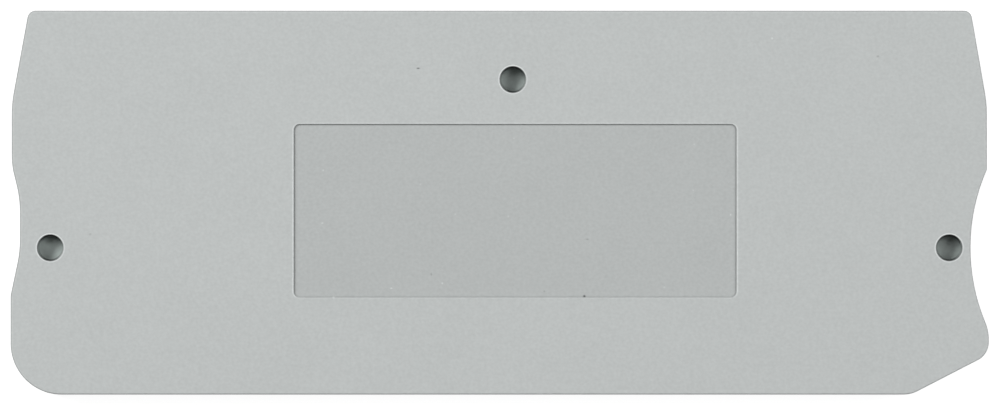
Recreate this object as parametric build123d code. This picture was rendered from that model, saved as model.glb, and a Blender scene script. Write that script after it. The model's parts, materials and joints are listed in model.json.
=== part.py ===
from build123d import *
import math
import os

# End cover for a row of rail-mounted terminal blocks, moulded in one piece.
# It closes the open side of the last block: three pegs on its inner face snap
# into that block, and three blind holes in its outer face, on the same axes,
# take the pegs of whatever is pushed on next.
#
# Millimetres. The origin is on the inner face, halfway along and up the plate.
# +X runs along the cover, +Y to its straight upper edge, +Z out of the outer
# face. Left and right are as seen from outside.

# Plate
LENGTH = 100.0
THICKNESS = 2.2
RIM_ROUND = 0.15

# Heights down the left side, which add up to the plate's height: straight to the
# waist, a ramp in, an upright stretch, a ramp out and the rest down to the edge
UPPER_HEIGHT = 15.8
LEFT_RAMP_IN = 3.4
LEFT_WAIST_UPRIGHT = 5.4
LEFT_RAMP_OUT = 4.5
LOWER_HEIGHT = 10.15

# Upper half: both sides lean inwards above a shoulder
SHOULDER_DROP = 9.5
LEFT_SHOULDER_INSET = 0.11
RIGHT_SHOULDER_INSET = 0.2
TOP_INSET = 1.85
TOP_CORNER_RADIUS = 0.85
SHOULDER_RADIUS = 12.0

# Left waist, and the bends where its ramps meet the side
LEFT_WAIST_DEPTH = 0.95
LEFT_UPPER_BEND = 8.0
LEFT_INNER_BEND = 12.0
LEFT_LOWER_BEND = 2.2

# Right waist: one hollow round, centred on the side pegs' level
RIGHT_WAIST_RADIUS = 19.9
RIGHT_WAIST_DEPTH = 1.87
RIGHT_LOBE_BLEND = 4.5

# Lower corners: a large radius on the left, a lobe and a long chamfer on the right
LOWER_LEFT_RADIUS = 5.2
LOBE_HEIGHT = 2.48
LOBE_RADIUS = 2.05
CHAMFER_RUN = 7.95
CHAMFER_END_RADIUS = 3.2

# Pegs and the holes that take such pegs, on shared axes
PEG_DIAMETER = 2.5
PEG_LENGTH = 1.6
PEG_TIP_CHAMFER = 0.3
HOLE_CLEARANCE = 0.075
SIDE_HOLE_FLOOR = 0.5
TOP_HOLE_FLOOR = 0.4
HOLE_MOUTH_ROUND = 0.05
SIDE_PEG_INSET = 4.05
SIDE_PEG_RISE = 0.35
TOP_PEG_OFFSET = 1.34
TOP_PEG_DROP = 7.05

# Label recess in the outer face
RECESS_LENGTH = 45.25
RECESS_WIDTH = 17.7
RECESS_DEPTH = 0.15
RECESS_CORNER_RADIUS = 0.6
RECESS_OFFSET = 1.58
RECESS_DROP = 20.47
RECESS_EDGE_ROUND = 0.05

# Ejector marks on the inner face, two rows of three
EJECTOR_DIAMETER = 3.0
EJECTOR_DEPTH = 0.08
EJECTOR_END_MARGIN = 17.0
EJECTOR_UPPER_MARGIN = 15.2
EJECTOR_LOWER_MARGIN = 6.45

# Levels and ends
HEIGHT = UPPER_HEIGHT + LEFT_RAMP_IN + LEFT_WAIST_UPRIGHT + LEFT_RAMP_OUT + LOWER_HEIGHT
END_X = LENGTH / 2
TOP_Y = HEIGHT / 2
RAMP_IN_TOP_Y = TOP_Y - UPPER_HEIGHT
RAMP_IN_END_Y = RAMP_IN_TOP_Y - LEFT_RAMP_IN
RAMP_OUT_TOP_Y = RAMP_IN_END_Y - LEFT_WAIST_UPRIGHT
RAMP_OUT_END_Y = RAMP_OUT_TOP_Y - LEFT_RAMP_OUT

# Pegs and holes, each with its place and floor: a pair at the waists and one near the upper edge
HOLE_RADIUS = PEG_DIAMETER / 2 + HOLE_CLEARANCE
SIDE_PEG_X = END_X - SIDE_PEG_INSET
SIDE_PEG_Y = RAMP_OUT_TOP_Y + SIDE_PEG_RISE
PEG_PLACES = (
    (-SIDE_PEG_X, SIDE_PEG_Y, SIDE_HOLE_FLOOR),
    (SIDE_PEG_X, SIDE_PEG_Y, SIDE_HOLE_FLOOR),
    (TOP_PEG_OFFSET, TOP_Y - TOP_PEG_DROP, TOP_HOLE_FLOOR),
)


def rounded_polygon():
    """Plate outline before the right waist is cut: straight runs joined by tangent arcs."""
    top_x = END_X - TOP_INSET
    left_shoulder_x = LEFT_SHOULDER_INSET - END_X
    right_shoulder_x = END_X - RIGHT_SHOULDER_INSET
    shoulder_y = TOP_Y - SHOULDER_DROP
    left_waist_x = LEFT_WAIST_DEPTH - END_X
    half_waist = math.sqrt(RIGHT_WAIST_DEPTH * (2 * RIGHT_WAIST_RADIUS - RIGHT_WAIST_DEPTH))
    lobe_foot_y = SIDE_PEG_Y - half_waist - LOBE_HEIGHT
    corners = (
        (-top_x, TOP_Y, TOP_CORNER_RADIUS),
        (top_x, TOP_Y, TOP_CORNER_RADIUS),
        (right_shoulder_x, shoulder_y, SHOULDER_RADIUS),
        (right_shoulder_x, SIDE_PEG_Y, 0),
        (END_X, SIDE_PEG_Y, 0),
        (END_X, lobe_foot_y, LOBE_RADIUS),
        (END_X - CHAMFER_RUN, -TOP_Y, CHAMFER_END_RADIUS),
        (-END_X, -TOP_Y, LOWER_LEFT_RADIUS),
        (-END_X, RAMP_OUT_END_Y, LEFT_LOWER_BEND),
        (left_waist_x, RAMP_OUT_TOP_Y, LEFT_INNER_BEND),
        (left_waist_x, RAMP_IN_END_Y, LEFT_INNER_BEND),
        (left_shoulder_x, RAMP_IN_TOP_Y, LEFT_UPPER_BEND),
        (left_shoulder_x, shoulder_y, SHOULDER_RADIUS),
    )
    points = [(x, y) for x, y, _ in corners]
    radii = [radius for _, _, radius in corners]
    return make_face(FilletPolyline(*points, radius=radii, close=True))


def plate_outline():
    """The whole outline, with the hollow round of the right waist and its blend into the lobe."""
    waist_centre = Pos(END_X - RIGHT_WAIST_DEPTH + RIGHT_WAIST_RADIUS, SIDE_PEG_Y)
    outline = rounded_polygon() - waist_centre * Circle(RIGHT_WAIST_RADIUS)
    waist = outline.edges().filter_by(GeomType.CIRCLE).sort_by(Edge.length)[-1]
    lobe_end = waist.vertices().sort_by(Axis.Y)[0]
    return fillet(outline.vertices().sort_by_distance(lobe_end)[0], RIGHT_LOBE_BLEND)


def plate():
    """Flat plate, its outer rim rounded and its inner rim left sharp at the mould's parting face."""
    blank = extrude(plate_outline(), THICKNESS)
    return fillet(blank.faces().sort_by(Axis.Z)[-1].edges(), RIM_ROUND)


def label_recess():
    """Shallow pocket that holds a label, with the cutter's lower edge rounded."""
    window = RectangleRounded(RECESS_LENGTH, RECESS_WIDTH, RECESS_CORNER_RADIUS)
    pocket = extrude(window, RECESS_DEPTH)
    pocket = fillet(pocket.faces().sort_by(Axis.Z)[0].edges(), RECESS_EDGE_ROUND)
    return Pos(RECESS_OFFSET, TOP_Y - RECESS_DROP, THICKNESS - RECESS_DEPTH) * pocket


def peg_hole(floor):
    """Blind hole from the outer face down to the floor that carries the peg behind it."""
    depth = THICKNESS - floor
    return Pos(0, 0, floor + depth / 2) * Cylinder(HOLE_RADIUS, depth)


def peg():
    """Locating peg on the inner face, with a chamfered tip as a lead-in."""
    shank = extrude(Circle(PEG_DIAMETER / 2), -PEG_LENGTH)
    return chamfer(shank.faces().sort_by(Axis.Z)[0].edges(), PEG_TIP_CHAMFER)


def ejector_marks():
    """Shallow discs that the mould's ejector pins leave in the inner face."""
    disc = Pos(0, 0, EJECTOR_DEPTH / 2) * Cylinder(EJECTOR_DIAMETER / 2, EJECTOR_DEPTH)
    outer_column = END_X - EJECTOR_END_MARGIN
    rows = (TOP_Y - EJECTOR_UPPER_MARGIN, EJECTOR_LOWER_MARGIN - TOP_Y)
    return [Pos(x, y, 0) * disc for x in (-outer_column, 0, outer_column) for y in rows]


def outer_openings(cover):
    """Rims of the openings in the outer face, from the smallest hole's mouth to the recess's rim."""
    outer_face = cover.faces().filter_by(Plane.XY).sort_by(Axis.Z)[-1]
    return outer_face.inner_wires().sort_by(Wire.length)


def end_cover():
    """The finished cover: one solid."""
    cover = plate() - label_recess()
    cover -= [Pos(x, y, 0) * peg_hole(floor) for x, y, floor in PEG_PLACES]
    cover += [Pos(x, y, 0) * peg() for x, y, _ in PEG_PLACES]
    cover -= ejector_marks()
    cover = fillet(outer_openings(cover)[-1].edges(), RECESS_EDGE_ROUND)
    hole_mouths = outer_openings(cover)[:-1]
    return fillet([edge for mouth in hole_mouths for edge in mouth.edges()], HOLE_MOUTH_ROUND)


os.makedirs("parts", exist_ok=True)
export_step(end_cover(), "parts/end_cover.step")
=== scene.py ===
import json
import math

import bmesh
import bpy
import numpy as np
from mathutils.geometry import delaunay_2d_cdt
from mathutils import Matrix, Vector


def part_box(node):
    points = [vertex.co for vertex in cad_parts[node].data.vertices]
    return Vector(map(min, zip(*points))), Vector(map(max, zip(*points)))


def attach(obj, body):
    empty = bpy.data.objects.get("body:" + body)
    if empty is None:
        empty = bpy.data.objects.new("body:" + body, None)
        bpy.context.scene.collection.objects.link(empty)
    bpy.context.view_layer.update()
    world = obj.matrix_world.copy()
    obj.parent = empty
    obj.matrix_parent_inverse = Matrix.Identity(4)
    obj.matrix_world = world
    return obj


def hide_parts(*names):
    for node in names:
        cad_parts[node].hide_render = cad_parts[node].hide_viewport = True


# End cover of a rail-mounted terminal block, moulded in matt grey polyamide.
# Sizes and places are in millimetres, as on its drawing, with the origin on the inner face.
# Left and right are as seen from outside. MM turns millimetres into the scene's metres.

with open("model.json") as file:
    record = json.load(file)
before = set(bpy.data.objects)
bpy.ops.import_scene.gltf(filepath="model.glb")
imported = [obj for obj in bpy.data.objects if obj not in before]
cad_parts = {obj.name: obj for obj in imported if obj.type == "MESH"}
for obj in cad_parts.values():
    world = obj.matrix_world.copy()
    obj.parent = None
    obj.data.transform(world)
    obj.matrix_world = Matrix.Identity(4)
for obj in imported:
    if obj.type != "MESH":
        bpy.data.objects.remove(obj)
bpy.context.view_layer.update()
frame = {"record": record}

MM = 0.001
FLOAT_DIGITS = 4


def in_mm(metres):
    """A place in metres as millimetres, without the last digits that single precision leaves."""
    return np.round(np.array(metres, float) / MM, FLOAT_DIGITS)


# From the frame: the plate's ends and levels, and the mounts of its holes, pegs and recess
lowest, highest = (in_mm(corner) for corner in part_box("end_cover"))
mounts = {mount["name"]: mount for mount in frame["record"]["mounts"]}
END_X = highest[0]
TOP_Y = highest[1]
OUTER_LEVEL = highest[2]
PEG_TIP_LEVEL = lowest[2]
SIDE_PEG_Y = in_mm(mounts["hole_left"]["pos_m"])[1]
RECESS_CENTRE = in_mm(mounts["label_recess"]["pos_m"])[:2]
RECESS_LEVEL = in_mm(mounts["label_recess"]["pos_m"])[2]

# Heights down the left side, from the top edge to the waist and through it
UPPER_HEIGHT = 15.8
LEFT_RAMP_IN = 3.4
LEFT_WAIST_UPRIGHT = 5.4
LEFT_RAMP_OUT = 4.5

# Upper half
SHOULDER_DROP = 9.5
LEFT_SHOULDER_INSET = 0.11
RIGHT_SHOULDER_INSET = 0.2
TOP_INSET = 1.85
TOP_CORNER_RADIUS = 0.85
SHOULDER_RADIUS = 12.0

# Waists, left and right
LEFT_WAIST_DEPTH = 0.95
LEFT_UPPER_BEND = 8.0
LEFT_INNER_BEND = 12.0
LEFT_LOWER_BEND = 2.2
RIGHT_WAIST_RADIUS = 19.9
RIGHT_WAIST_DEPTH = 1.87
RIGHT_LOBE_BLEND = 4.5

# Lower corners
LOWER_LEFT_RADIUS = 5.2
LOBE_HEIGHT = 2.48
LOBE_RADIUS = 2.05
CHAMFER_RUN = 7.95
CHAMFER_END_RADIUS = 3.2

# Edges, recess and the ejector marks in the inner face
RIM_ROUND = 0.15
RECESS_EDGE_ROUND = 0.05
HOLE_MOUTH_ROUND = 0.05
HOLE_FOOT_ROUND = 0.1
PEG_TIP_CHAMFER = 0.3
RECESS_SIZE = np.array((45.25, 17.7))
RECESS_CORNER_RADIUS = 0.6
EJECTOR_RADIUS = 1.5
EJECTOR_DEPTH = 0.08
EJECTOR_COLUMNS = (-33.0, 0.0, 33.0)
EJECTOR_ROWS = (4.425, -13.175)

# Painted light: above 0 a painted highlight and below 0 painted shade, on edges, creases and hollows, set
# side by side to how the light falls on them. The rim's is given at the outer and the inner end of its round.
# At the outer end it is times the share of the direction that the rim faces, as rows of (degrees from the
# right, share)
RIM_PAINTED_SHADE = -0.9
# A share below 0 turns the rim's painted shade into a painted highlight on that side
RIM_SHADE_BY_SIDE = (
    (0, 0.5), (10, 0.3), (45, 1.0), (90, 1.15), (170, 1.4), (180, 1.05), (195, 0.9), (215, 0.2),
    (250, 0.2), (268, 0.6), (275, 0.4), (297, -1.2), (325, -1.0), (340, -0.7), (350, -0.2),
)
# A painted highlight on the outer face inside the rim's round, and how far it reaches
RIM_PAINTED_HIGHLIGHT = 0.3
RIM_HIGHLIGHT_REACH = 0.15

# An opening's painted light: the painted highlight round its mouth and the painted shade in its crease, each
# as its share at the right, left, upper and lower side; the lip over which the highlight turns into the
# shade; the painted shade of the mouth's outer and inner end, the wall and the foot; and how the foot's
# painted shade fades along the floor as a painted shadow, as (reach, share at each of the sides)
HIGHLIGHT_REACH = 0.16
CREASE_SHADE_REACH = 0.03
FADED = (0.0, 0.0, 0.0, 0.0)
RECESS_PAINTED_LIGHT = {
    "highlight": (1.5, 1.5, 0.8, 0.2),
    "crease_shade": (1.0, 1.0, 1.12, 0.8),
    "lip": 0.0,
    "mouth": (0.0, -1.5),
    "wall": -1.0,
    "foot": -0.7,
    # Painted shade along the floor inside the left wall and, less, the right wall
    "fade": ((0.15, (0.15, 0.38, 0.0, 0.0)), (0.4, FADED)),
}
HOLE_PAINTED_LIGHT = {
    "highlight": (1.5, 2.2, 2.6, 1.6),
    "crease_shade": (0.35, 0.45, 1.0, 0.75),
    "lip": 0.03,
    "mouth": (-2.0, -2.8),
    "wall": -2.5,
    "foot": -2.6,
    # Painted shadow on the floor along the upper wall and a little along the right
    "fade": ((0.07, (0.1, 0.0, 0.4, 0.0)), (0.25, FADED)),
}

# Fineness of the skin: angle between points on a round, and spacing on straights and flats. A flat's points
# keep a share of their spacing from its loops. Points closer than the merge distance are one, and a triangle
# whose doubled area is under the sliver's share of its longest side squared is left out
ARC_STEP = math.radians(3)
RUN_STEP = 1.0
FACE_SPACING = 1.3
FLOOR_SPACING = 0.3
ROW_SHARE = math.sqrt(0.75)
LOOP_CLEARANCE = 0.6
ROUND_STEPS = 6
WALL_STEPS = 6
EDGE_GUARD = 0.03
MERGE_DISTANCE = 1e-7
SAME_PLACE = 1e-4
SLIVER_SHARE = 1e-4
SHARP_ANGLE = math.radians(32)


def arc(centre, radius, first, sweep):
    """Even points round an arc: the centre plus radius times (cosine, sine) of each angle."""
    count = max(2, math.ceil(abs(sweep) / ARC_STEP)) + 1
    angle = first + np.linspace(0, sweep, count)
    return np.array(centre) + radius * np.stack([np.cos(angle), np.sin(angle)], axis=1)


def corner_arc(before, corner, after, radius):
    """Arc of a given radius that touches both sides of a corner.

    It starts radius times the tangent of half the turn before the corner, and its centre lies one radius to
    the side that the path turns to.
    """
    arrive = (corner - before) / np.hypot(*(corner - before))
    leave = (after - corner) / np.hypot(*(after - corner))
    turn = math.atan2(arrive[0] * leave[1] - arrive[1] * leave[0], arrive @ leave)
    start = corner - arrive * radius * math.tan(abs(turn) / 2)
    to_centre = math.copysign(1, turn) * np.array((-arrive[1], arrive[0]))
    return arc(start + radius * to_centre, radius, math.atan2(-to_centre[1], -to_centre[0]), turn)


def joined(arcs):
    """One closed loop of points: the arcs in order, with even points on the straight run to the next one."""
    loop = []
    for this, following in zip(arcs, arcs[1:] + arcs[:1]):
        run = following[0] - this[-1]
        steps = max(1, math.ceil(np.hypot(*run) / RUN_STEP))
        share = np.arange(1, steps)[:, None] / steps
        loop += [this, this[-1] + share * run]
    loop = np.vstack(loop)
    apart = np.hypot(*(np.roll(loop, -1, axis=0) - loop).T) > MERGE_DISTANCE
    return loop[apart]


def rounded(corners):
    """Arcs of a polygon given as (x, y, radius) for each corner, in order."""
    places = [np.array(corner[:2]) for corner in corners]
    neighbours = zip(places[-1:] + places[:-1], places, places[1:] + places[:1])
    return [corner_arc(*trio, corner[2]) for trio, corner in zip(neighbours, corners)]


def right_waist():
    """The lobe's blend and the waist's hollow arc, from the lobe up to the side.

    The blend touches the side and the hollow, so its centre is both radii away from the hollow's centre.
    """
    centre_x = END_X - RIGHT_WAIST_DEPTH + RIGHT_WAIST_RADIUS
    blend_x = END_X - RIGHT_LOBE_BLEND
    drop = math.sqrt((RIGHT_WAIST_RADIUS + RIGHT_LOBE_BLEND) ** 2 - (centre_x - blend_x) ** 2)
    lean = math.atan2(drop, centre_x - blend_x)
    rise = math.acos((centre_x - END_X + RIGHT_SHOULDER_INSET) / RIGHT_WAIST_RADIUS)
    blend = arc((blend_x, SIDE_PEG_Y - drop), RIGHT_LOBE_BLEND, 0, lean)
    hollow = arc((centre_x, SIDE_PEG_Y), RIGHT_WAIST_RADIUS, math.pi + lean, -lean - rise)
    return [blend, hollow]


def plate_outline():
    """The plate's outline, counterclockwise as seen from outside, from the upper right corner.

    The two corners without a radius stand in for the right waist, which then takes their place.
    """
    top_x = END_X - TOP_INSET
    shoulder_y = TOP_Y - SHOULDER_DROP
    left_shoulder_x = LEFT_SHOULDER_INSET - END_X
    right_shoulder_x = END_X - RIGHT_SHOULDER_INSET
    left_waist_x = LEFT_WAIST_DEPTH - END_X
    ramp_in_top = TOP_Y - UPPER_HEIGHT
    ramp_in_end = ramp_in_top - LEFT_RAMP_IN
    ramp_out_top = ramp_in_end - LEFT_WAIST_UPRIGHT
    ramp_out_end = ramp_out_top - LEFT_RAMP_OUT
    half_waist = math.sqrt(RIGHT_WAIST_DEPTH * (2 * RIGHT_WAIST_RADIUS - RIGHT_WAIST_DEPTH))
    arcs = rounded([
        (top_x, TOP_Y, TOP_CORNER_RADIUS),
        (-top_x, TOP_Y, TOP_CORNER_RADIUS),
        (left_shoulder_x, shoulder_y, SHOULDER_RADIUS),
        (left_shoulder_x, ramp_in_top, LEFT_UPPER_BEND),
        (left_waist_x, ramp_in_end, LEFT_INNER_BEND),
        (left_waist_x, ramp_out_top, LEFT_INNER_BEND),
        (-END_X, ramp_out_end, LEFT_LOWER_BEND),
        (-END_X, -TOP_Y, LOWER_LEFT_RADIUS),
        (END_X - CHAMFER_RUN, -TOP_Y, CHAMFER_END_RADIUS),
        (END_X, SIDE_PEG_Y - half_waist - LOBE_HEIGHT, LOBE_RADIUS),
        (END_X, SIDE_PEG_Y, 0),
        (right_shoulder_x, SIDE_PEG_Y, 0),
        (right_shoulder_x, shoulder_y, SHOULDER_RADIUS),
    ])
    stand_ins = slice(10, 12)
    arcs[stand_ins] = right_waist()
    return joined(arcs)


def recess_outline():
    """The label recess's outline: a rectangle with small round corners."""
    half = RECESS_SIZE / 2
    signs = ((1, 1), (-1, 1), (-1, -1), (1, -1))
    corners = [(*(RECESS_CENTRE + half * sign), RECESS_CORNER_RADIUS) for sign in signs]
    return joined(rounded(corners))


def circle(centre, radius):
    """Even points round a circle."""
    return arc(centre, radius, 0, 2 * math.pi)[:-1]


def outward(loop):
    """At each point of a closed loop, the step that moves both neighbouring edges out by one.

    It is the sum of the two edges' unit normals, divided by one plus their dot product.
    """
    edge = np.roll(loop, -1, axis=0) - loop
    normal = np.stack([edge[:, 1], -edge[:, 0]], axis=1) / np.hypot(*edge.T)[:, None]
    before = np.roll(normal, 1, axis=0)
    return (before + normal) / (1 + (before * normal).sum(axis=1))[:, None]


def quarter_round(radius):
    """Round of an edge as (out, up) steps from its sharp corner: radius times (cosine - 1, sine - 1)."""
    angle = np.linspace(0, math.pi / 2, ROUND_STEPS + 1)
    return radius * np.stack([np.cos(angle) - 1, np.sin(angle) - 1], axis=1)


def wall(loop, profile):
    """A profile carried along a closed loop: each of its (out, level, painted light) rows makes one ring of
    points.
    """
    profile = np.array(profile, float)
    rings = loop[None] + profile[:, None, :1] * outward(loop)[None]
    rest = np.broadcast_to(profile[:, None, 1:], (*rings.shape[:2], 2))
    points = np.concatenate([rings, rest], axis=2).reshape(-1, 4)
    row = np.arange(len(loop))
    following = np.roll(row, -1)
    start = (np.arange(len(profile) - 1) * len(loop))[:, None]
    upper = start + len(loop)
    quads = np.stack([start + row, start + following, upper + following, upper + row], axis=2)
    return points, quads.reshape(-1, 4)


def inside(points, loop):
    """Which points a loop surrounds: those from which a level ray crosses it an odd number of times."""
    x, y = points[:, :1], points[:, 1:]
    (x0, y0), (x1, y1) = loop.T, np.roll(loop, -1, axis=0).T
    spans = (y0 > y) != (y1 > y)
    crossing = x0 + (y - y0) * (x1 - x0) / np.where(y1 == y0, 1, y1 - y0)
    return (spans & (x < crossing)).sum(axis=1) % 2 == 1


def spread(rim, openings, spacing):
    """Even points between a rim and its openings, clear of every loop's points.

    They stand at the corners of even triangles, in rows that are set off by half a step in turn.
    """
    low, high = rim.min(axis=0), rim.max(axis=0)
    rows = np.arange(low[1] + spacing / 2, high[1], spacing * ROW_SHARE)
    columns = np.arange(low[0], high[0], spacing)
    shift = spacing / 2 * (np.arange(len(rows)) % 2)
    places = np.broadcast_arrays(columns[None] + shift[:, None], rows[:, None])
    grid = np.stack(places, axis=2).reshape(-1, 2)
    grid = grid[inside(grid, rim)]
    for loop in (rim, *openings):
        gap = np.hypot(*(grid[:, None] - loop[None]).transpose(2, 0, 1)).min(axis=1)
        grid = grid[gap > spacing * LOOP_CLEARANCE]
    for loop in openings:
        grid = grid[~inside(grid, loop)]
    return grid


def flat(level, rim, openings=(), facing=1, spacing=FACE_SPACING):
    """A flat face between a rim and its openings, as Delaunay triangles that face up (1) or down (-1)."""
    loops = [rim, *openings]
    flat_points = np.vstack([*loops, spread(rim, openings, spacing)])
    edges = []
    for loop, end in zip(loops, np.cumsum([len(loop) for loop in loops])):
        row = np.arange(end - len(loop), end)
        edges.append(np.stack([row, np.roll(row, -1)], axis=1))
    made = delaunay_2d_cdt(flat_points.tolist(), np.vstack(edges).tolist(), [], 0, MERGE_DISTANCE)
    corners = np.array(made[0])
    if len(corners) != len(flat_points) or np.abs(corners - flat_points).max() > SAME_PLACE:
        raise ValueError("a flat face's loops cross each other")
    triangles = np.array(made[2])
    trios = flat_points[triangles]
    sides = np.roll(trios, -1, axis=1) - trios
    doubled_area = sides[:, 0, 0] * sides[:, 1, 1] - sides[:, 0, 1] * sides[:, 1, 0]
    kept = doubled_area > SLIVER_SHARE * (sides ** 2).sum(axis=2).max(axis=1)
    middles = trios.mean(axis=1)
    kept &= inside(middles, rim)
    for loop in openings:
        kept &= ~inside(middles, loop)
    level_and_painted_light = np.broadcast_to((level, 0.0), (len(flat_points), 2))
    return np.hstack([flat_points, level_and_painted_light]), triangles[kept][:, ::facing]


def ring_painted_light(points, loop):
    """The painted light and shade of a wall's points, with one row for each ring; a change to it changes the
    points.
    """
    return points.reshape(-1, len(loop), 4)[:, :, 3]


def plate_rim(outline):
    """The plate's outer wall: sharp at the inner face, straight up, then rounded over to the outer face.

    Over the round, the painted shade goes from the rim's to its painted highlight with the cube of the turn's
    share. The rim's is times its side's share, which is read between the rows of its table.
    """
    levels = np.linspace(0, OUTER_LEVEL - RIM_ROUND, WALL_STEPS)
    straight = [(0, level, 0) for level in levels[:-1]]
    turn = quarter_round(RIM_ROUND)
    fades = 1 - np.linspace(0, 1, len(turn)) ** 3
    turned = [(out, OUTER_LEVEL + up, fade) for (out, up), fade in zip(turn, fades)]
    points, quads = wall(outline, [*straight, *turned, (-RIM_ROUND - RIM_HIGHLIGHT_REACH, OUTER_LEVEL, 0)])
    facing = np.degrees(np.arctan2(*outward(outline).T[::-1]))
    side = np.interp(facing, *np.transpose(RIM_SHADE_BY_SIDE), period=360)
    painted_light = ring_painted_light(points, outline)[len(straight):-1]
    painted_light[:] = RIM_PAINTED_HIGHLIGHT + painted_light * (RIM_PAINTED_SHADE * side - RIM_PAINTED_HIGHLIGHT)
    return points, quads


def side_shares(loop):
    """How far each point of a loop faces right, left, up and down.

    They are the squares of its outward step's parts, divided by their sum.
    """
    facing = outward(loop)
    across, along = (facing ** 2 / (facing ** 2).sum(axis=1)[:, None]).T
    right, upper = facing.T > 0
    return np.stack([across * right, across * ~right, along * upper, along * ~upper], axis=1)


def opening_wall(loop, floor, rounds, painted_light_table):
    """Wall of an opening in the outer face: round its mouth, down to its floor, and a strip of the floor.

    The rounds are those of its mouth and foot. The strip round the mouth has the painted highlight, which
    turns into the mouth's painted shade over the lip, where there is one. The mouth, the wall and the foot
    have their own painted shade, which for the mouth and the foot is times the crease's share. Along the
    floor, the foot's painted shade is times the crease's share over a narrow strip, and then times each share
    of the fade at its reach, as a painted shadow.
    """
    mouth_round, foot_round = rounds
    burnish_end = mouth_round + HIGHLIGHT_REACH
    around = [
        (burnish_end, OUTER_LEVEL, 0),
        (burnish_end - HIGHLIGHT_REACH / 2, OUTER_LEVEL, 1),
        (mouth_round + painted_light_table["lip"], OUTER_LEVEL, 1),
    ]
    mouth_start, mouth_end = painted_light_table["mouth"]
    edge = [(mouth_round, OUTER_LEVEL, mouth_start)] if painted_light_table["lip"] else []
    turn = quarter_round(mouth_round)[-2::-1]
    turn_painted_light = np.linspace(mouth_start, mouth_end, len(turn))
    mouth = edge + [(-out, OUTER_LEVEL + up, painted_light) for (out, up), painted_light in zip(turn, turn_painted_light)]
    levels = np.linspace(OUTER_LEVEL - mouth_round, floor + foot_round, WALL_STEPS)
    upright = [(0, level, painted_light_table["wall"]) for level in levels[1:-1]]
    foot = [(out, floor - up, painted_light_table["foot"]) for out, up in quarter_round(foot_round)]
    fade = ((CREASE_SHADE_REACH, painted_light_table["crease_shade"]), *painted_light_table["fade"])
    strip = [(-foot_round - reach, floor, painted_light_table["foot"]) for reach, _ in fade]
    points, quads = wall(loop, [*around, *mouth, *upright, *foot, *strip])
    sides = side_shares(loop)
    painted_light = ring_painted_light(points, loop)
    painted_light[:len(around)] *= sides @ painted_light_table["highlight"]
    painted_light[len(around):len(around) + len(mouth)] *= sides @ painted_light_table["crease_shade"]
    painted_light[-len(foot) - len(strip):-len(strip)] *= sides @ painted_light_table["crease_shade"]
    painted_light[-len(strip):] *= np.array([sides @ shares for _, shares in fade])
    return points, quads


def opening(loop, floor, rounds, painted_light_table, spacing):
    """The wall and floor of an opening in the outer face, and the loop from which the outer face goes on."""
    mouth_round, foot_round = rounds
    floor_rim = loop - (foot_round + painted_light_table["fade"][-1][0]) * outward(loop)
    patches = [opening_wall(loop, floor, rounds, painted_light_table), flat(floor, floor_rim, spacing=spacing)]
    return patches, loop + (mouth_round + HIGHLIGHT_REACH) * outward(loop)


def peg(foot):
    """A locating peg: from its chamfered tip up its shank to its foot on the inner face."""
    shank_levels = np.linspace(PEG_TIP_LEVEL + PEG_TIP_CHAMFER, 0, WALL_STEPS)
    return wall(foot, [(-PEG_TIP_CHAMFER, PEG_TIP_LEVEL, 0), *[(0, level, 0) for level in shank_levels]])


def mounts_called(start):
    """Centre, level, radius and length of each round mount whose name starts in a given way."""
    for name, mount in mounts.items():
        if name.startswith(start):
            x, y, level = in_mm(mount["pos_m"])
            yield np.array((x, y)), level, mount["dims"]["r_mm"], mount["dims"]["length_mm"]


def cover_patches():
    """Every patch of the cover's skin: its walls, its flat faces, and the floors and tips."""
    outline = plate_outline()
    recess_rounds = (RECESS_EDGE_ROUND, RECESS_EDGE_ROUND)
    sunk, mouth = opening(recess_outline(), RECESS_LEVEL, recess_rounds, RECESS_PAINTED_LIGHT, FACE_SPACING)
    patches, mouths = [plate_rim(outline), *sunk], [mouth]
    for centre, level, radius, length in mounts_called("hole_"):
        loop, floor = circle(centre, radius), level - length / 2
        sunk, mouth = opening(loop, floor, (HOLE_MOUTH_ROUND, HOLE_FOOT_ROUND), HOLE_PAINTED_LIGHT, FLOOR_SPACING)
        patches += sunk
        mouths.append(mouth)
    patches.append(flat(OUTER_LEVEL, outline - (RIM_ROUND + RIM_HIGHLIGHT_REACH) * outward(outline), mouths))
    feet = []
    for centre, _, radius, _ in mounts_called("peg_"):
        foot = circle(centre, radius)
        tip = foot - PEG_TIP_CHAMFER * outward(foot)
        patches += [peg(foot), flat(PEG_TIP_LEVEL, tip, facing=-1, spacing=FLOOR_SPACING)]
        feet.append(foot)
    for centre in [(x, y) for x in EJECTOR_COLUMNS for y in EJECTOR_ROWS]:
        mark = circle(centre, EJECTOR_RADIUS)
        patches.append(wall(mark, [(0, EJECTOR_DEPTH, 0), (0, 0, 0)]))
        patches.append(flat(EJECTOR_DEPTH, mark, facing=-1, spacing=FLOOR_SPACING))
        feet.append(mark)
    patches.append(flat(0, outline, feet, facing=-1))
    return patches


def opening_tones(points):
    """Shade of each point, which is 1 outside the recess and the holes, and whether it lies in a hole."""
    sunk = (points[:, 2] < OUTER_LEVEL - RECESS_EDGE_ROUND) & (points[:, 2] > EJECTOR_DEPTH + EDGE_GUARD)
    within = (np.abs(points[:, :2] - RECESS_CENTRE) <= RECESS_SIZE / 2 + EDGE_GUARD).all(axis=1)
    shade = np.where(within & sunk, RECESS_SHADE, 1.0)
    hole = np.zeros(len(points), bool)
    for name, hole_shade in HOLE_SHADES.items():
        gap = np.hypot(*(points[:, :2] - in_mm(mounts[name]["pos_m"])[:2]).T)
        inner = (gap <= mounts[name]["dims"]["r_mm"] + EDGE_GUARD) & sunk
        shade[inner] = hole_shade
        hole |= inner
    return shade, hole


def add_object(name, data):
    """A new object with the given data, in the scene."""
    added = bpy.data.objects.new(name, data)
    bpy.context.scene.collection.objects.link(added)
    return added


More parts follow.
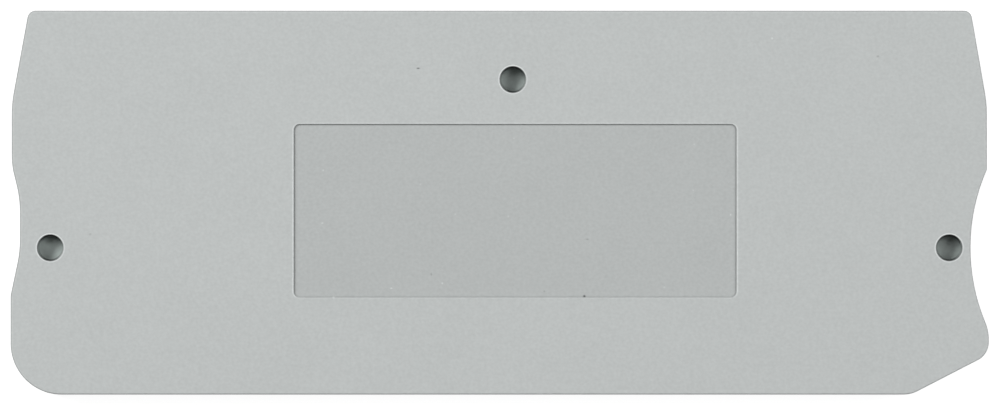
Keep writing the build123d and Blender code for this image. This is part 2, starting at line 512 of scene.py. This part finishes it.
def one_skin(name, patches):
    """Patches put together as one closed mesh, their shared rings merged, smooth but for its sharp edges."""
    starts = np.cumsum([0] + [len(points) for points, _ in patches])
    points = np.vstack([points for points, _ in patches])
    faces = [row for (_, patch), start in zip(patches, starts) for row in (patch + start).tolist()]
    mesh = bpy.data.meshes.new(name)
    mesh.from_pydata((points[:, :3] * MM).tolist(), [], faces)
    shade, hole = opening_tones(points)
    # The points' fourth column is painted light: painted highlight above 0 and painted shade below 0
    for attribute, values in (("painted_light", points[:, 3]), ("shade", shade), ("hole", hole)):
        layer = mesh.attributes.new(attribute, "FLOAT", "POINT")
        layer.data.foreach_set("value", values.astype(np.float32))
    skin = bmesh.new()
    skin.from_mesh(mesh)
    bmesh.ops.remove_doubles(skin, verts=skin.verts, dist=MERGE_DISTANCE)
    skin.to_mesh(mesh)
    skin.free()
    mesh.polygons.foreach_set("use_smooth", np.ones(len(mesh.polygons), bool))
    mesh.set_sharp_from_angle(angle=SHARP_ANGLE)
    return add_object(name, mesh)


# Finish: the grey's linear colour, its shade in the recess and in each hole, painted greener bounce light in
# the holes, and the share of it that a painted light of 1 adds as painted highlight and one of -1 takes as
# painted shade
PLATE_COLOUR = (0.5032, 0.525, 0.52)
RECESS_SHADE = 0.897
HOLE_SHADES = {"hole_left": 1.13, "hole_right": 0.96, "hole_top": 1.1}
HOLE_PAINTED_BOUNCE = (-0.07, 0.0, -0.03)
HIGHLIGHT_GAIN = 0.17
SHADE_LOSS = 0.35

# Grain of the mould's surface: (size, gain) of each noise, the finest one's relief, and the surface's gloss
GRAIN_STRETCH = (0.85, 1.0, 1.0)
GRAINS = ((0.285, 0.187), (0.8, 0.03), (5.0, 0.04))
GRAIN_DETAIL = 1.0
GRAIN_RELIEF = 0.02
GRAIN_STRENGTH = 0.1
PLATE_ROUGHNESS = 0.6
PLATE_GLOSS = 0.4

# Flecks and pits as (x, y, half width, half height, gain). The last is a painted pool of light on the left
# hole's floor
FLECKS_AND_PAINTED_LIGHT = (
    (-8.33, 13.72, 0.26, 0.13, -0.75),
    (38.66, 14.95, 0.22, 0.17, -0.3),
    (-41.85, -3.25, 0.24, 0.2, -0.22),
    (27.85, 16.79, 0.17, 0.17, 0.3),
    (-7.0, -7.33, 0.13, 0.26, -0.32),
    (8.95, -3.76, 0.26, 0.14, -0.25),
    (4.55, -9.07, 0.16, 0.16, -0.27),
    (8.65, -9.57, 0.23, 0.19, -0.95),
    (-11.09, -8.76, 0.2, 0.12, 0.42),
    (-5.88, -8.25, 0.15, 0.16, 0.34),
    (-18.14, -2.1, 0.18, 0.13, 0.3),
    (-18.04, 3.3, 0.16, 0.16, 0.28),
    (19.88, 5.95, 0.16, 0.12, 0.18),
    (23.6, -1.25, 0.13, 0.16, 0.34),
    (-4.55, -1.2, 0.13, 0.16, 0.19),
    (1.45, 6.57, 0.14, 0.17, 0.19),
    (-8.12, 1.87, 0.16, 0.13, 0.18),
    (19.78, 1.25, 0.13, 0.16, 0.22),
    (16.82, -8.66, 0.16, 0.13, 0.2),
    (0.87, -1.41, 0.14, 0.14, 0.15),
    (-17.0, -9.68, 0.2, 0.22, 0.3),
    # A painted pool of light on the left hole's floor
    (-46.15, -4.2, 1.0, 0.95, 0.62),
)


def add_node(tree, kind, inputs=(), **settings):
    """A shader node with its settings, each named socket set to a value or linked from another node's."""
    node = tree.nodes.new("ShaderNode" + kind)
    for name, value in settings.items():
        setattr(node, name, value)
    for name, value in dict(inputs).items():
        if isinstance(value, bpy.types.NodeSocket):
            tree.links.new(value, node.inputs[name])
        else:
            node.inputs[name].default_value = value
    return node


def calculate(tree, operation, *values):
    """The output of a maths node on the given values or sockets."""
    return add_node(tree, "Math", dict(enumerate(values)), operation=operation).outputs[0]


def empty_tree(owner):
    """The node tree of a material or a world, with nothing in it yet."""
    owner.use_nodes = True
    owner.node_tree.nodes.clear()
    return owner.node_tree


def grain_tone(tree, place):
    """One plus the gain of each grain's noise, which varies about one half, and the finest noise itself."""
    place = add_node(tree, "VectorMath", {0: place, 1: GRAIN_STRETCH}, operation="MULTIPLY").outputs[0]
    tone = 1.0
    noises = []
    for size, gain in GRAINS:
        sockets = {"Vector": place, "Scale": 1 / (size * MM), "Detail": GRAIN_DETAIL}
        noises.append(add_node(tree, "TexNoise", sockets).outputs["Fac"])
        centred = calculate(tree, "SUBTRACT", noises[-1], 0.5)
        tone = calculate(tree, "MULTIPLY_ADD", centred, gain, tone)
    return tone, noises[0]


def fleck_and_painted_light_tone(tree, place, tone):
    """The tone with each fleck's and the painted pool of light's gain added: smoothly from none on its
    ellipse to all of it at its middle.
    """
    for x, y, half_width, half_height, gain in FLECKS_AND_PAINTED_LIGHT:
        stretch = (1 / (half_width * MM), 1 / (half_height * MM), 0)
        middle = (-x / half_width, -y / half_height, 0)
        step = add_node(tree, "VectorMath", {0: place, 1: stretch, 2: middle}, operation="MULTIPLY_ADD")
        reach = add_node(tree, "VectorMath", {0: step.outputs[0]}, operation="LENGTH").outputs["Value"]
        share = add_node(tree, "MapRange", {"Value": reach, "From Min": 1.0, "From Max": 0.0},
                         interpolation_type="SMOOTHSTEP").outputs[0]
        tone = calculate(tree, "MULTIPLY_ADD", share, gain, tone)
    return tone


def painted_light_tone(tree, tone):
    """The tone times one plus the skin's painted light, a painted highlight by the gain above 0 and painted
    shade by the loss below 0.
    """
    painted_light = add_node(tree, "Attribute", attribute_name="painted_light").outputs["Fac"]
    lighter = calculate(tree, "MULTIPLY_ADD", calculate(tree, "MAXIMUM", painted_light, 0.0), HIGHLIGHT_GAIN, 1.0)
    darker = calculate(tree, "MULTIPLY_ADD", calculate(tree, "MINIMUM", painted_light, 0.0), SHADE_LOSS, lighter)
    return calculate(tree, "MULTIPLY", tone, darker)


def shaded_tone(tree, tone):
    """The tone times the skin's own shade."""
    shade = add_node(tree, "Attribute", attribute_name="shade").outputs["Fac"]
    return calculate(tree, "MULTIPLY", tone, shade)


def bounce_light_colour(tree, colour):
    """The colour plus its own product with painted greener bounce light, where the skin lies in a hole."""
    hole = add_node(tree, "Attribute", attribute_name="hole").outputs["Fac"]
    bounce = add_node(tree, "VectorMath", {0: HOLE_PAINTED_BOUNCE, "Scale": hole}, operation="SCALE").outputs[0]
    sockets = {0: colour, 1: bounce, 2: colour}
    return add_node(tree, "VectorMath", sockets, operation="MULTIPLY_ADD").outputs[0]


def matt_polyamide():
    """Matt moulded polyamide: grain and flecks on an even grey, shaded where it is sunk, with painted light
    and shade.
    """
    material = bpy.data.materials.new("matt_grey_polyamide")
    tree = empty_tree(material)
    place = add_node(tree, "TexCoord").outputs["Object"]
    tone, finest = grain_tone(tree, place)
    tone = shaded_tone(tree, painted_light_tone(tree, fleck_and_painted_light_tone(tree, place, tone)))
    colour = add_node(tree, "VectorMath", {0: PLATE_COLOUR, "Scale": tone}, operation="SCALE").outputs[0]
    relief = {"Height": finest, "Strength": GRAIN_STRENGTH, "Distance": GRAIN_RELIEF * MM}
    surface = add_node(tree, "BsdfPrincipled", {
        "Base Color": bounce_light_colour(tree, colour),
        "Roughness": PLATE_ROUGHNESS,
        "Specular IOR Level": PLATE_GLOSS,
        "Normal": add_node(tree, "Bump", relief).outputs[0],
    })
    add_node(tree, "OutputMaterial", {"Surface": surface.outputs[0]})
    return material


cover = one_skin("cover_skin", cover_patches())
cover.data.materials.append(matt_polyamide())
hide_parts("end_cover")
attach(cover, "root")

# The photograph's frame: the cover fills 978 of its 1000 pixels, seen from far above. The height is in
# metres. A camera above 2 m has so narrow a view that the other views, which keep its lens, lie beyond their
# own clipping distance
CAMERA_PLACE = (0.026, 0.006)
CAMERA_HEIGHT = 1.9
SENSOR_WIDTH = 36.0
FRAME_WIDTH = 102.23
camera = add_object("camera", bpy.data.cameras.new("camera"))
camera.location = (CAMERA_PLACE[0] * MM, CAMERA_PLACE[1] * MM, CAMERA_HEIGHT)
camera.data.sensor_width = SENSOR_WIDTH
camera.data.lens = SENSOR_WIDTH * (CAMERA_HEIGHT - OUTER_LEVEL * MM) / (FRAME_WIDTH * MM)
bpy.context.scene.camera = camera
bpy.context.scene.view_settings.view_transform = "Standard"

# Surroundings, in metres: a floor at the pegs' tips, a faint even light, and soft lamps. Two of these stand
# beyond the left end, one above the other, and one beyond the right end. Each is given as (name, azimuth,
# elevation, distance, size, share of the plain light level)
FLOOR_SIZE = 40.0
FLOOR_GLOW = 0.92
FLOOR_TONE = 0.3
WORLD_SHARE = 0.016
LAMPS = (
    ("left_lamp", 150, 35.5, 1.0, (0.4, 0.3), 0.38),
    ("left_fill_lamp", 150, 50, 1.0, (0.45, 0.4), 0.23),
    ("right_lamp", 8, 41, 0.9, (0.5, 0.55), 0.39),
)


def seen_directly(tree):
    """One for rays from the camera, a reflection or a clear body, and zero for the light's own rays."""
    path = add_node(tree, "LightPath")
    seen = calculate(tree, "MAXIMUM", path.outputs["Is Camera Ray"], path.outputs["Is Glossy Ray"])
    return calculate(tree, "MAXIMUM", seen, path.outputs["Is Transmission Ray"])


def white_floor():
    """A floor that is white to the camera and keeps a faint shadow: a matt surface plus a glow."""
    half, level = FLOOR_SIZE / 2, PEG_TIP_LEVEL * MM
    corners = [(-half, -half, level), (half, -half, level), (half, half, level), (-half, half, level)]
    mesh = bpy.data.meshes.new("floor")
    mesh.from_pydata(corners, [], [(0, 1, 2, 3)])
    floor = add_object("floor", mesh)
    material = bpy.data.materials.new("white_floor")
    tree = empty_tree(material)
    matt = add_node(tree, "BsdfDiffuse", {"Color": (FLOOR_TONE, FLOOR_TONE, FLOOR_TONE, 1)})
    strength = calculate(tree, "MULTIPLY", seen_directly(tree), FLOOR_GLOW)
    glow = add_node(tree, "Emission", {"Strength": strength})
    both = add_node(tree, "AddShader", {0: matt.outputs[0], 1: glow.outputs[0]})
    add_node(tree, "OutputMaterial", {"Surface": both.outputs[0]})
    mesh.materials.append(material)


def surroundings():
    """Faint even light from all round, and white where the camera or a reflection sees it."""
    world = bpy.data.worlds.new("studio")
    bpy.context.scene.world = world
    tree = empty_tree(world)
    levels = {"Value": seen_directly(tree), "To Min": WORLD_SHARE, "To Max": 1.0}
    strength = add_node(tree, "MapRange", levels).outputs[0]
    back = add_node(tree, "Background", {"Color": (1, 1, 1, 1), "Strength": strength})
    add_node(tree, "OutputWorld", {"Surface": back.outputs[0]})


def lamp(name, azimuth, elevation, distance, size, share):
    """A rectangular lamp aimed at the cover, which gives a level face its share of the plain light level.

    Its power is the share times pi squared times the distance squared, over the sine of its elevation.
    """
    turn, rise = math.radians(azimuth), math.radians(elevation)
    away = distance * math.cos(rise)
    data = bpy.data.lights.new(name, "AREA")
    data.shape = "RECTANGLE"
    data.size, data.size_y = size
    data.energy = share * (math.pi * distance) ** 2 / math.sin(rise)
    light = add_object(name, data)
    light.location = (away * math.cos(turn), away * math.sin(turn), distance * math.sin(rise))
    light.rotation_euler = (math.pi / 2 - rise, 0, turn + math.pi / 2)
    light.visible_camera = False


white_floor()
surroundings()
for row in LAMPS:
    lamp(*row)
